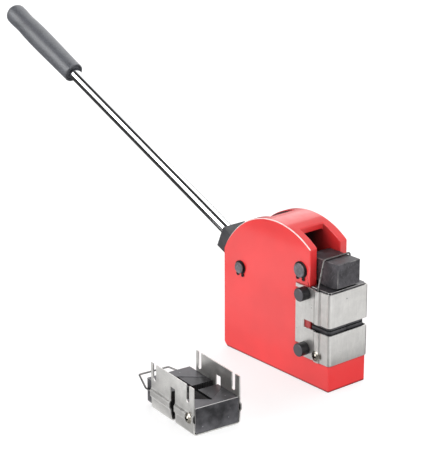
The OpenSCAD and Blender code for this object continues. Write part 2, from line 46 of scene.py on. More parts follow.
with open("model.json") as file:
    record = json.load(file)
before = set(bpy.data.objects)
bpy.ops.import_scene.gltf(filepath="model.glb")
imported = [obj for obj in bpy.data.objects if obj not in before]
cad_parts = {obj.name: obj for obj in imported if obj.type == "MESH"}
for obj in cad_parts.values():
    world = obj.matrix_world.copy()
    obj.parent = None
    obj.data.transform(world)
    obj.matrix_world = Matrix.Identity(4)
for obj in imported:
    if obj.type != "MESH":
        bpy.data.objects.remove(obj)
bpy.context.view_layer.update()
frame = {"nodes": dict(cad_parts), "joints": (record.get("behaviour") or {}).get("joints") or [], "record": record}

RECORD = frame["record"]
NODE_BODY = {node: body for body, nodes in RECORD["behaviour"]["bodies"].items() for node in nodes}
JOINTS = {joint["name"]: joint for joint in frame["joints"]}

MM = 0.001
# Distance under which a solid's loose triangles are joined, and angle under which two faces are one flat
JOIN = 0.002 * MM
FLAT = math.radians(0.4)
# Least angle of an edge that gets rounded, and of an edge that stays sharp in the shading
RIDGE = math.radians(28)
CREASE = math.radians(38)
# Angle above which an edge of sheet metal is a cut one, and not a bend
CUT = math.radians(70)
# Point attribute that is 1 along the crown of a rounded edge, for wear and for painted highlights
EDGE = "edge"
# Face attribute that is 1 where a face is painted dark, as shade
SHADE_MARK = "shade_mark"

# Prefixes of the mounted set's and the spare set's nodes, and how far the spare upper holder is drawn out
SPARE = "spare_"
SETS = ("", SPARE)
SPARE_LIFT = 10 * MM
LEVELS = ("upper", "lower")
SIDES = ("left", "right")
# The jaw whose back is painted black, as shade
SHADED_JAW = "spare_lower_left_jaw"

# Painted highlights on the frame's edges from this far above the jaw cover, where a ridge leans outwards and up
GLINT_RISE = 10 * MM
GLINT_FADE = 15 * MM
GLINT_LEAN = (0.36, 0.94)
GLINT_UPWARD = 0.12
# Painted shade darkens the frame's inside from ahead of the front pin to behind it, on the walls beside
# the rocker and on overhangs: the gap beside the rocker, and the lean of a wall and of an overhang
SHADE_AHEAD = 4 * MM
SHADE_BEHIND = 30 * MM
SHADE_GAP = 1 * MM
SHADE_WALL = 0.9
SHADE_OVERHANG = -0.3
# A painted shadow along the frame's foot is full up to the first height and gone at the second
FOOT_SHADOW = (0.8 * MM, 2.8 * MM)
# The hub's ears end this far past the rear pivot, towards the rod; their narrow steps have no room for rounds
EAR_REACH = 5 * MM

# Share of the grip's length from its mouth, and how many millimetres slimmer it is there than its fullest
GRIP_SWELL = ((0.02, 1.1), (0.2, 0.7), (0.42, 0.15), (0.58, 0.0), (0.7, 0.4), (0.8, 0.95), (0.9, 0.45))
# How much slimmer its mouth and its end are, its lip, the step inside its mouth, its domed end,
# its fit on the rod, the gap past the rod's end, and the depth and radius of the dome's flat tip
GRIP_MOUTH_SLIM = 1.1 * MM
GRIP_END_SLIM = 0.5 * MM
GRIP_LIP = 0.7 * MM
GRIP_STEP = 0.4 * MM
GRIP_DOME = 8.2 * MM
GRIP_FIT = 0.05 * MM
GRIP_END_GAP = 0.1 * MM
GRIP_TIP = (0.05 * MM, 2 * MM)

# Thumb screws: the knob's length, the shank's radius, the small rounds, the dish and the worn rim's depth;
# the rim's pale face is partly a painted reflection
KNOB_LENGTH = 11 * MM
KNOB_SHANK = 2.5 * MM
KNOB_EDGE = 0.5 * MM
KNOB_DISH = 0.25 * MM
KNOB_WEAR_AND_SHEEN = 0.4 * MM

# Place of the punch dot: across from the middle plane, and down from the cover's top
PUNCH_PLACE = (-3.5 * MM, -8.9 * MM)
PUNCH_RADIUS = 0.5 * MM

# Cover screws: the flange's height, the head, the shank's radius and length, the recess's length, width
# and depth, and the depth under the head's surface from which the recess is painted dark, as shade
SCREW_FLANGE = 1.2 * MM
SCREW_HEAD_RADIUS = 4.5 * MM
SCREW_HEAD_HEIGHT = 2.6 * MM
SCREW_SHANK = (2 * MM, 8.5 * MM)
SCREW_RECESS = (6.4 * MM, 2 * MM, 1.7 * MM)
SCREW_SKIN = 0.1 * MM
# Height of a cover screw's domed head before it is cut flat, as a share of its radius
HEAD_SQUEEZE = 0.62

# The bails clear the rocker, hook into the upper holder's sides and bend above the cover
BAIL_CLEARANCE = 1.2 * MM
BAIL_HOOK = 5 * MM
BAIL_KNEE = 3 * MM
BAIL_BEND = 2.2 * MM

# Turns and outer radius of the jaw springs
SPRING_TURNS = 9.0
SPRING_RADIUS = 2.3 * MM

# Least lean towards the other jaws of a holder's edge that stays plain dark steel, and of a jaw's face that
# is painted dark, as shade
HOLDER_BITE = 0.2
JAW_BITE = 0.5
# Least lean upwards of the shaded jaw's back, which is painted black
JAW_BACK = 0.9


class StretcherSizes(bpy.types.PropertyGroup):
    """Sizes of the finished pieces."""

    casting_edge: FloatProperty(
        name="Casting Edge", description="Round of the frame casting's painted edges",
        default=1.3 * MM, unit="LENGTH")
    block_edge: FloatProperty(
        name="Block Edge", description="Round of the edges of the hub and the rocker",
        default=0.8 * MM, unit="LENGTH")
    tool_edge: FloatProperty(
        name="Tool Edge", description="Round of the edges of the holders and pins",
        default=0.55 * MM, unit="LENGTH")
    fine_edge: FloatProperty(
        name="Fine Edge", description="Round of the edges of sheet metal, circlips, screws and jaws",
        default=0.18 * MM, unit="LENGTH")
    sheet_bend: FloatProperty(
        name="Sheet Bend", description="Width of the rounded bends beside the cover's beads",
        default=0.9 * MM, unit="LENGTH")
    rod_chamfer: FloatProperty(
        name="Rod Chamfer", description="Chamfer at the ends of the handle rod",
        default=1 * MM, unit="LENGTH")
    grip_wall: FloatProperty(
        name="Grip Wall", description="Thickness of the grip's wall at its open mouth",
        default=1.6 * MM, unit="LENGTH")
    grip_mouth: FloatProperty(
        name="Grip Mouth", description="Depth of the grip's open mouth",
        default=3 * MM, unit="LENGTH")
    knob_crown: FloatProperty(
        name="Knob Crown", description="Round of a thumb screw's outer edge",
        default=1.2 * MM, unit="LENGTH")
    bail_wire: FloatProperty(
        name="Bail Wire", description="Diameter of the lifting bails' wire",
        default=2 * MM, unit="LENGTH")
    spring_wire: FloatProperty(
        name="Spring Wire", description="Diameter of the jaw springs' wire",
        default=0.7 * MM, unit="LENGTH")


class StretcherColours(bpy.types.PropertyGroup):
    """Colours of the finishes."""

    paint: FloatVectorProperty(
        name="Frame Paint", description="Gloss paint of the frame casting",
        subtype="COLOR", size=4, default=(0.78, 0.034, 0.036, 1))
    hub: FloatVectorProperty(
        name="Hub Paint", description="Satin paint of the lever's hub",
        subtype="COLOR", size=4, default=(0.045, 0.046, 0.052, 1))
    rubber: FloatVectorProperty(
        name="Grip Rubber", description="Rubber of the handle's grip",
        subtype="COLOR", size=4, default=(0.080, 0.084, 0.095, 1))
    oxide: FloatVectorProperty(
        name="Black Oxide", description="Blackened steel of the rocker, the knobs and the circlips",
        subtype="COLOR", size=4, default=(0.050, 0.048, 0.053, 1))
    tool_steel: FloatVectorProperty(
        name="Tool Steel", description="Dark oiled steel of the holders and jaws",
        subtype="COLOR", size=4, default=(0.098, 0.097, 0.105, 1))
    sheet: FloatVectorProperty(
        name="Sheet Steel", description="Bright sheet of the jaw covers",
        subtype="COLOR", size=4, default=(0.72, 0.71, 0.69, 1))
    bare: FloatVectorProperty(
        name="Bare Steel", description="Steel that shows where a finish has worn away",
        subtype="COLOR", size=4, default=(0.55, 0.54, 0.53, 1))
    # The pale colour of the frame's edges is a painted highlight, patchy like worn paint
    rub_and_glint: FloatVectorProperty(
        name="Rubbed Paint", description="Pale edges of the frame casting, where the paint is rubbed thin",
        subtype="COLOR", size=4, default=(0.92, 0.72, 0.70, 1))
    zinc: FloatVectorProperty(
        name="Zinc Plate", description="Plating of the cover screws",
        subtype="COLOR", size=4, default=(0.50, 0.47, 0.41, 1))


def sizes():
    return bpy.context.scene.stretcher_sizes


def colours():
    return bpy.context.scene.stretcher_colours


# Materials


class Finish:
    """A material under construction: its node tree, and short ways to add the nodes that finishes share."""

    def __init__(self, name):
        self.material = bpy.data.materials.new(name)
        self.material.use_nodes = True
        self.tree = self.material.node_tree
        self.tree.nodes.clear()
        output = self.tree.nodes.new("ShaderNodeOutputMaterial")
        self.shader = self.tree.nodes.new("ShaderNodeBsdfPrincipled")
        self.link(self.shader.outputs["BSDF"], output.inputs["Surface"])
        self.place = self.tree.nodes.new("ShaderNodeTexCoord").outputs["Object"]

    def link(self, source, target):
        self.tree.links.new(source, target)

    def set(self, **values):
        """Sets the shader's sockets; an underscore in a name stands for a space."""
        for name, value in values.items():
            self.shader.inputs[name.replace("_", " ")].default_value = value

    def feed(self, name, source):
        self.link(source, self.shader.inputs[name])

    def stretched(self, scale, turn=(0, 0, 0)):
        """Object coordinates, turned and then scaled along each axis."""
        mapping = self.tree.nodes.new("ShaderNodeMapping")
        mapping.vector_type = "TEXTURE"
        mapping.inputs["Rotation"].default_value = turn
        mapping.inputs["Scale"].default_value = scale
        self.link(self.place, mapping.inputs["Vector"])
        return mapping.outputs["Vector"]

    def noise(self, size, detail=3, roughness=0.55, where=None):
        """Noise whose grains are about size metres across."""
        node = self.tree.nodes.new("ShaderNodeTexNoise")
        node.inputs["Scale"].default_value = 1 / size
        node.inputs["Detail"].default_value = detail
        node.inputs["Roughness"].default_value = roughness
        self.link(where or self.place, node.inputs["Vector"])
        return node.outputs["Fac"]

    def spots(self, size, low, high):
        """Scattered round spots about size metres apart, 1 inside and 0 outside."""
        node = self.tree.nodes.new("ShaderNodeTexVoronoi")
        node.inputs["Scale"].default_value = 1 / size
        self.link(self.place, node.inputs["Vector"])
        return self.span(node.outputs["Distance"], low, high, 1, 0)

    def span(self, source, low, high, to_low=0.0, to_high=1.0):
        """Maps a value from the range low to high to another range, clamped."""
        node = self.tree.nodes.new("ShaderNodeMapRange")
        for name, value in zip(("From Min", "From Max", "To Min", "To Max"), (low, high, to_low, to_high)):
            node.inputs[name].default_value = value
        self.link(source, node.inputs["Value"])
        return node.outputs["Result"]

    def attribute(self, name):
        node = self.tree.nodes.new("ShaderNodeAttribute")
        node.attribute_name = name
        return node.outputs["Fac"]

    def coordinate(self, axis):
        """One of the object coordinates, X, Y or Z."""
        node = self.tree.nodes.new("ShaderNodeSeparateXYZ")
        self.link(self.place, node.inputs[0])
        return node.outputs[axis]

    def band(self, axis, low, high, soft):
        """1 between two values of an object coordinate, fading to 0 over a soft margin."""
        value = self.coordinate(axis)
        return self.times(self.span(value, low - soft, low), self.span(value, high, high + soft, 1, 0))

    def near(self, point, radius, soft):
        """1 within a radius of a point, fading to 0 over a soft margin."""
        node = self.tree.nodes.new("ShaderNodeVectorMath")
        node.operation = "DISTANCE"
        self.link(self.place, node.inputs[0])
        node.inputs[1].default_value = point
        return self.span(node.outputs["Value"], radius, radius + soft, 1, 0)

    def combined(self, operation, a, b):
        """Two values put together, and kept between 0 and 1."""
        node = self.tree.nodes.new("ShaderNodeMath")
        node.operation = operation
        node.use_clamp = True
        self.link(a, node.inputs[0])
        self.link(b, node.inputs[1])
        return node.outputs["Value"]

    def times(self, a, b):
        return self.combined("MULTIPLY", a, b)

    def plus(self, a, b):
        return self.combined("ADD", a, b)

    def mixed(self, share, a, b):
        """Colour a where share is 0 and colour b where it is 1; each is a colour or a socket."""
        node = self.tree.nodes.new("ShaderNodeMix")
        node.data_type = "RGBA"
        self.link(share, node.inputs["Factor"])
        for name, colour in (("A", a), ("B", b)):
            socket = next(i for i in node.inputs if i.name == name and i.type == "RGBA")
            if isinstance(colour, bpy.types.NodeSocket):
                self.link(colour, socket)
            else:
                socket.default_value = colour
        return next(o for o in node.outputs if o.type == "RGBA")

    def worn_edge(self, grain=12 * MM, low=0.38, high=0.68):
        """Share of bare metal along rounded edges, in long soft patches; on the frame's paint, a painted
        highlight.
        """
        crown = self.span(self.attribute(EDGE), 0.35, 0.85)
        return self.times(crown, self.span(self.noise(grain), low, high))

    def bump(self, height, depth, strength=1.0):
        """Relief of a given depth in metres from a height between 0 and 1."""
        node = self.tree.nodes.new("ShaderNodeBump")
        node.inputs["Strength"].default_value = strength
        node.inputs["Distance"].default_value = depth
        self.link(height, node.inputs["Height"])
        self.feed("Normal", node.outputs["Normal"])


def shade(colour, factor):
    """A colour made lighter or darker."""
    return tuple(min(1.0, channel * factor) for channel in colour[:3]) + (1.0,)


def gloss_paint(name, colour, bare, glint_height, dark_x, cover_box):
    """Gloss paint with painted highlights on high edges, painted shade inside and behind the jaw cover, and a
    painted shadow at the foot.
    """
    finish = Finish(name)
    drift = finish.span(finish.noise(60 * MM, detail=2), 0.35, 0.65)
    paint = finish.mixed(drift, shade(colour, 0.95), shade(colour, 1.05))
    # Painted highlight along high outer edges, in patches like worn paint
    rub_glint = finish.worn_edge(grain=40 * MM, low=0.32, high=0.46)
    height = finish.coordinate("Z")
    high_glint = finish.times(rub_glint, finish.span(height, glint_height, glint_height + GLINT_FADE))
    rub_and_glint = finish.mixed(high_glint, paint, bare)
    low, high = cover_box
    soft = 2 * MM
    # Painted shade on the flank behind the jaw cover
    behind = finish.times(finish.band("X", low.x, high.x, soft), finish.band("Z", low.z, high.z, soft))
    behind_shaded = finish.mixed(finish.span(behind, 0, 1, 0, 0.6), rub_and_glint, shade(colour, 0.08))
    # Painted shadow along the foot
    foot_shadowed = finish.mixed(finish.span(height, *FOOT_SHADOW, 0.9, 0), behind_shaded, shade(colour, 0.10))
    # Painted shade on marked faces inside the frame, deepening towards the rear
    inside = finish.times(finish.attribute(SHADE_MARK), finish.span(finish.coordinate("X"), *dark_x))
    finish.feed("Base Color", finish.mixed(finish.span(inside, 0, 1, 0, 0.94), foot_shadowed, shade(bare, 0.02)))
    finish.feed("Roughness", finish.span(finish.noise(9 * MM), 0.3, 0.7, 0.30, 0.40))
    finish.set(Coat_Weight=0.5, Coat_Roughness=0.10, IOR=1.5)
    finish.bump(finish.noise(1.6 * MM, detail=2), 0.05 * MM, 0.35)
    return finish.material


def satin_paint(name, colour):
    """Dark paint with a slight grain, paler where its edges are worn."""
    finish = Finish(name)
    wear = finish.worn_edge(low=0.5, high=0.75)
    patches = finish.span(finish.noise(14 * MM), 0.3, 0.7)
    painted = finish.mixed(patches, shade(colour, 0.8), shade(colour, 1.25))
    finish.feed("Base Color", finish.mixed(wear, painted, shade(colour, 4.0)))
    finish.feed("Roughness", finish.span(finish.noise(4 * MM), 0.3, 0.7, 0.42, 0.58))
    finish.bump(finish.noise(0.9 * MM, detail=3), 0.06 * MM, 0.4)
    return finish.material


def chrome_plate(name, turn):
    """Chrome plate with faint drawing marks along the rod and hazy patches."""
    finish = Finish(name)
    draw = finish.noise(0.6 * MM, where=finish.stretched((1, 1, 60), turn))
    haze = finish.span(finish.noise(25 * MM), 0.35, 0.7, 0.03, 0.10)
    finish.feed("Roughness", finish.plus(haze, finish.span(draw, 0.5, 0.8, 0.0, 0.05)))
    finish.set(Base_Color=(0.86, 0.87, 0.88, 1), Metallic=1.0)
    finish.bump(draw, 0.01 * MM, 0.15)
    return finish.material


def moulded_rubber(name, colour):
    """Grained rubber with scuffed patches and a soft gloss."""
    finish = Finish(name)
    grain = finish.noise(1.5 * MM, detail=4, roughness=0.7)
    scuff = finish.span(finish.noise(18 * MM, detail=4), 0.35, 0.7)
    skin = finish.mixed(scuff, shade(colour, 0.8), shade(colour, 1.15))
    pores = finish.span(grain, 0.45, 0.65)
    finish.feed("Base Color", finish.mixed(pores, skin, shade(colour, 1.7)))
    finish.feed("Roughness", finish.span(grain, 0.3, 0.7, 0.33, 0.49))
    finish.set(Sheen_Weight=0.05, Sheen_Roughness=0.5, Specular_IOR_Level=0.9)
    finish.bump(grain, 0.12 * MM, 0.5)
    return finish.material


def worn_black(name, colour, bare, dull=0.45, patches=(0.38, 0.68)):
    """Blackened steel with worn edges, faint scuffs and a fine grain."""
    finish = Finish(name)
    wear = finish.worn_edge(low=patches[0], high=patches[1])
    scratches = finish.noise(1.2 * MM, detail=2, where=finish.stretched((1, 1, 14), (0.5, 0.3, 0.9)))
    scuffs = finish.span(scratches, 0.62, 0.78, 0.0, 0.45)
    cloud = finish.span(finish.noise(8 * MM, detail=4), 0.35, 0.68)
    black = finish.mixed(cloud, shade(colour, 0.75), shade(colour, 1.7))
    scuffed = finish.mixed(scuffs, black, shade(colour, 4.5))
    finish.feed("Base Color", finish.mixed(wear, scuffed, bare))
    finish.feed("Roughness", finish.span(cloud, 0, 1, dull - 0.08, dull + 0.10))
    finish.set(Metallic=0.65)
    finish.bump(finish.noise(0.5 * MM, detail=4), 0.05 * MM, 0.4)
    return finish.material


def oiled_steel(name, colour, edge):
    """Dark machined steel with an uneven oil film and edges of their own colour; faces marked for shade are
    painted dark.
    """
    finish = Finish(name)
    wear = finish.worn_edge(grain=16 * MM, low=0.2, high=0.42)
    film = finish.span(finish.noise(11 * MM, detail=4), 0.35, 0.7)
    dark = finish.mixed(film, shade(colour, 0.7), shade(colour, 1.5))
    nicks = finish.spots(9 * MM, 0.05, 0.09)
    nicked = finish.mixed(nicks, dark, shade(colour, 3.5))
    worn = finish.mixed(wear, nicked, edge)
    in_shade = finish.attribute(SHADE_MARK)
    finish.feed("Base Color", finish.mixed(in_shade, worn, shade(colour, 0.12)))
    sheen = finish.span(film, 0, 1, 0.30, 0.48)
    finish.feed("Roughness", finish.plus(sheen, finish.span(in_shade, 0, 1, 0, 0.5)))
    finish.feed("Metallic", finish.span(in_shade, 0, 1, 0.75, 0))
    finish.bump(finish.noise(0.6 * MM, detail=4), 0.05 * MM, 0.35)
    return finish.material


def brushed_sheet(name, colour, grain_scale, punch=None):
    """Bright rolled sheet: fine brushing along its grain, cloudy patches and bright cut edges."""
    finish = Finish(name)
    brushing = finish.noise(0.35 * MM, detail=3, where=finish.stretched(grain_scale))
    cloud = finish.noise(13 * MM, detail=5, roughness=0.65)
    specks = finish.spots(7 * MM, 0.04, 0.08)
    sheet = finish.mixed(finish.span(cloud, 0.36, 0.66), shade(colour, 0.86), shade(colour, 1.06))
    brushed = finish.mixed(finish.span(brushing, 0.4, 0.75, 0, 0.5), sheet, shade(colour, 0.74))
    marked = finish.mixed(finish.times(specks, finish.span(cloud, 0.5, 0.7)), brushed, shade(colour, 0.5))
    # The punch mark is a dark dot: painted shade standing in for its dent
    if punch:
        marked = finish.mixed(finish.near(punch, PUNCH_RADIUS, 0.4 * MM), marked, shade(colour, 0.12))
    wear = finish.worn_edge(low=0.3, high=0.6)
    finish.feed("Base Color", finish.mixed(wear, marked, shade(colour, 1.25)))
    haze = finish.span(cloud, 0.3, 0.7, 0.26, 0.40)
    finish.feed("Roughness", finish.plus(haze, finish.span(brushing, 0.4, 0.8, 0, 0.1)))
    finish.set(Metallic=0.92)
    finish.bump(brushing, 0.02 * MM, 0.3)
    return finish.material


def bright_metal(name, colour, roughness=0.25):
    """Drawn wire, ground rollers and plated screws."""
    finish = Finish(name)
    cloud = finish.noise(3 * MM, detail=3)
    wear = finish.worn_edge(low=0.35, high=0.6)
    base = finish.mixed(finish.span(cloud, 0.35, 0.65), shade(colour, 0.78), shade(colour, 1.1))
    clean = finish.mixed(wear, base, shade(colour, 1.35))
    # Faces marked for shade, such as the screws' recesses, are painted dark
    finish.feed("Base Color", finish.mixed(finish.attribute(SHADE_MARK), clean, shade(colour, 0.08)))
    finish.feed("Roughness", finish.span(cloud, 0.3, 0.7, roughness - 0.06, roughness + 0.08))
    finish.set(Metallic=1.0)
    finish.bump(finish.noise(0.4 * MM), 0.02 * MM, 0.3)
    return finish.material


# Shapes


def merged_copy(node):
    """A node's solid with its triangles joined and each flat face whole."""
    shape = bmesh.new()
    shape.from_mesh(frame["nodes"][node].data)
    bmesh.ops.remove_doubles(shape, verts=shape.verts, dist=JOIN)
    bmesh.ops.dissolve_limit(shape, angle_limit=FLAT, verts=shape.verts, edges=shape.edges)
    return shape


def round_edges(shape, width, steps=2, least=RIDGE, most=math.pi, among=None):
    """Rounds the edges whose angle lies between two limits, and marks the crowns of the rounds."""
    crown = shape.verts.layers.float.get(EDGE) or shape.verts.layers.float.new(EDGE)
    chosen = [e for e in among or shape.edges if e.is_manifold and least < e.calc_face_angle() < most]
    made = bmesh.ops.bevel(
        shape, geom=chosen, offset=width, offset_type="OFFSET", segments=steps, profile=0.5,
        affect="EDGES", clamp_overlap=False)
    rounds = set(made["faces"])
    for vert in {v for face in rounds for v in face.verts}:
        if all(face in rounds for face in vert.link_faces):
            vert[crown] = 1.0
    return shape


def mark_points(shape, test):
    """Marks the points that pass a test with the edge attribute, for wear and painted highlights."""
    crown = shape.verts.layers.float.get(EDGE) or shape.verts.layers.float.new(EDGE)
    for vert in shape.verts:
        if test(vert.co):
            vert[crown] = 1.0


def clear_crowns(shape, test):
    """Takes the wear and the painted highlights off the points that pass a test."""
    shape.normal_update()
    crown = shape.verts.layers.float[EDGE]
    for vert in shape.verts:
        if test(vert):
            vert[crown] = 0.0


def mark_faces(shape, test):
    """Marks the faces that pass a test to be painted dark, as shade."""
    shade_mark = shape.faces.layers.float.new(SHADE_MARK)
    for face in shape.faces:
        face[shade_mark] = float(test(face))


def turned(profile, place, sides=72):
    """A solid of revolution from (distance, radius) points, set along the Z axis of place."""
    shape = bmesh.new()
    rings = []
    angles = [2 * math.pi * k / sides for k in range(sides)]
    for reach, radius in profile:
        if radius < JOIN:
            rings.append([shape.verts.new(place @ Vector((0, 0, reach)))])
            continue
        ring = [Vector((radius * math.cos(a), radius * math.sin(a), reach)) for a in angles]
        rings.append([shape.verts.new(place @ point) for point in ring])
    for one, two in zip(rings, rings[1:]):
        for k in range(sides):
            ring_a = one[k % len(one)], one[(k + 1) % len(one)]
            ring_b = two[k % len(two)], two[(k + 1) % len(two)]
            corners = list(dict.fromkeys((ring_a[0], ring_a[1], ring_b[1], ring_b[0])))
            shape.faces.new(corners)
    bmesh.ops.recalc_face_normals(shape, faces=shape.faces)
    return shape


def arc(centre, radius, start, end, steps):
    """Points of a (distance, radius) profile along a round, with angles in degrees from the axis."""
    angles = [math.radians(start + (end - start) * k / steps) for k in range(steps + 1)]
    return [(centre[0] + radius * math.cos(a), centre[1] + radius * math.sin(a)) for a in angles]


def smooth_curve(points, steps):
    """Points along a smooth curve through (distance, radius) points."""
    curve = []
    for i in range(len(points) - 1):
        before = points[max(i - 1, 0)]
        a, b = points[i], points[i + 1]
        after = points[min(i + 2, len(points) - 1)]
        for k in range(steps):
            t = k / steps
            curve.append(tuple(
                q + t * ((r - p) + t * ((2 * p - 5 * q + 4 * r - s) + t * (3 * q - p - 3 * r + s))) / 2
                for p, q, r, s in zip(before, a, b, after)))
    return curve + [points[-1]]


def along(origin, axis):
    """A place whose Z axis runs from origin along axis."""
    return Matrix.Translation(origin) @ Vector(axis).to_track_quat("Z", "Y").to_matrix().to_4x4()


def add_piece(name, shape, material, nodes):
    """Makes a piece of a shape, gives it its finish, and lets it stand for its nodes."""
    mesh = bpy.data.meshes.new(name)
    shape.to_mesh(mesh)
    shape.free()
    mesh.materials.clear()
    mesh.materials.append(material)
    mesh.shade_smooth()
    mesh.set_sharp_from_angle(angle=CREASE)
    piece = bpy.data.objects.new(name, mesh)
    bpy.context.scene.collection.objects.link(piece)
    weighting = piece.modifiers.new("Even Shading", "WEIGHTED_NORMAL")
    weighting.keep_sharp = True
    piece.data = evaluated_mesh(piece)
    piece.modifiers.clear()
    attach(piece, NODE_BODY[nodes[0]])
    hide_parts(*nodes)
    return piece


def evaluated_mesh(piece):
    """The mesh of an object after its modifiers."""
    depsgraph = bpy.context.evaluated_depsgraph_get()
    return bpy.data.meshes.new_from_object(piece.evaluated_get(depsgraph))


def softened(node, material, width, steps=2):
    """A node's solid with rounded edges and a finish."""
    return add_piece(f"{node}_finish", round_edges(merged_copy(node), width, steps), material, [node])


def middle(node):
    """The middle of a node's box."""
    low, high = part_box(node)
    return (low + high) / 2


def lathe_span(node, origin, axis):
    """How far a round node reaches along an axis, from and to, and its greatest radius."""
    points = [vert.co - origin for vert in frame["nodes"][node].data.vertices]
    reaches = [point.dot(axis) for point in points]
    radius = max((point - axis * reach).length for point, reach in zip(points, reaches))
    return min(reaches), max(reaches), radius


def bench_place(prefix, lift=0.0):
    """Moves a piece of the mounted set to the set that a prefix names; the spare one lies on the bench."""
    if not prefix:
        return Matrix.Identity(4)
    upward = JOINTS["spare_upper_holder_draw"]["axis"]
    heading = math.atan2(upward[1], upward[0])
    turn = Matrix.Rotation(heading, 4, "Z") @ Matrix.Rotation(math.pi / 2, 4, "Y")
    home = Matrix.Translation(Vector((0, 0, lift)) - middle("jaw_cover"))
    return Matrix.Translation(middle(SPARE + "jaw_cover")) @ turn @ home


def biting_way(prefix, level):
    """The direction in which the upper or the lower jaws of a set bite."""
    return bench_place(prefix).to_3x3() @ Vector((0, 0, -1 if level == "upper" else 1))


# Geometry node trees


class Tree:
    """A geometry node tree with named inputs, and the modifier values that fill them."""

    def __init__(self, name, inputs):
        self.group = bpy.data.node_groups.new(name, "GeometryNodeTree")
        face = self.group.interface
        face.new_socket("Geometry", in_out="INPUT", socket_type="NodeSocketGeometry")
        self.sockets = {
            label: face.new_socket(label, in_out="INPUT", socket_type=kind)
            for label, kind in inputs.items()}
        face.new_socket("Geometry", in_out="OUTPUT", socket_type="NodeSocketGeometry")
        self.source = self.group.nodes.new("NodeGroupInput")
        self.sink = self.group.nodes.new("NodeGroupOutput")

    def add(self, kind, settings=None, **links):
        """Adds a node; links name its inputs, an underscore for a space, and hold sockets or values."""
        node = self.group.nodes.new(kind)
        for key, value in (settings or {}).items():
            setattr(node, key, value)
        for name, value in links.items():
            socket = node.inputs[name.replace("_", " ")]
            if isinstance(value, bpy.types.NodeSocket):
                self.link(value, socket)
            else:
                socket.default_value = value
        return node

    def link(self, source, target):
        self.group.links.new(source, target)

    def value(self, label):
        return self.source.outputs[label]

    def scaled(self, source, factor):
        """A value times a number, or a vector times a vector."""
        kind = "ShaderNodeMath" if isinstance(factor, float) else "ShaderNodeVectorMath"
        node = self.add(kind, {"operation": "MULTIPLY"})
        self.link(source, node.inputs[0])
        node.inputs[1].default_value = factor
        return node.outputs[0]

    def vector(self, **parts):
        return self.add("ShaderNodeCombineXYZ", **parts).outputs[0]

    def moved(self, geometry, **change):
        return self.add("GeometryNodeTransform", Geometry=geometry, **change).outputs[0]

    def swept(self, path, sides):
        """Round wire along a path, with closed ends."""
        ring = self.add(
            "GeometryNodeCurvePrimitiveCircle", Resolution=sides, Radius=self.value("Wire Radius"))
        wire = self.add(
            "GeometryNodeCurveToMesh", Curve=path, Profile_Curve=ring.outputs["Curve"], Fill_Caps=True)
        return wire.outputs[0]

    def close(self, geometry):
        """Realises the instances, sets the material and ends the tree."""
        real = self.add("GeometryNodeRealizeInstances", Geometry=geometry)
        done = self.add(
            "GeometryNodeSetMaterial", Geometry=real.outputs[0], Material=self.value("Material"))
        self.link(done.outputs[0], self.sink.inputs[0])

    def run(self, name, points, links, values):
        """Runs the tree on a mesh of points and links, and returns the result as a shape."""
        seed = bpy.data.meshes.new(name)
        seed.from_pydata(points, links, [])
        carrier = bpy.data.objects.new(name, seed)
        bpy.context.scene.collection.objects.link(carrier)
        modifier = carrier.modifiers.new(name, "NODES")
        modifier.node_group = self.group
        for label, value in values.items():
            modifier[self.sockets[label].identifier] = value
        mesh = evaluated_mesh(carrier)
        bpy.data.objects.remove(carrier)
        shape = bmesh.new()
        shape.from_mesh(mesh)
        bpy.data.meshes.remove(mesh)
        return shape


FLOAT = "NodeSocketFloat"
MATERIAL = "NodeSocketMaterial"


def wire_tree():
    """Round wire with filleted bends along a chain of points."""
    tree = Tree("Bent Wire", {"Wire Radius": FLOAT, "Bend Radius": FLOAT, "Material": MATERIAL})
    curve = tree.add("GeometryNodeMeshToCurve", Mesh=tree.source.outputs["Geometry"])
    bent = tree.add(
        "GeometryNodeFilletCurve", {"mode": "POLY"}, Curve=curve.outputs[0], Count=7,
        Radius=tree.value("Bend Radius"), Limit_Radius=True)
    tree.close(tree.swept(bent.outputs[0], 20))
    return tree


def coil_tree():
    """Open coil spring along Z."""
    tree = Tree("Coil Spring", {
        "Turns": FLOAT, "Coil Radius": FLOAT, "Length": FLOAT, "Wire Radius": FLOAT, "Material": MATERIAL})
    helix = tree.add(
        "GeometryNodeCurveSpiral", Resolution=28, Rotations=tree.value("Turns"),
        Height=tree.value("Length"), Start_Radius=tree.value("Coil Radius"),
        End_Radius=tree.value("Coil Radius"))
    tree.close(tree.swept(helix.outputs[0], 10))
    return tree


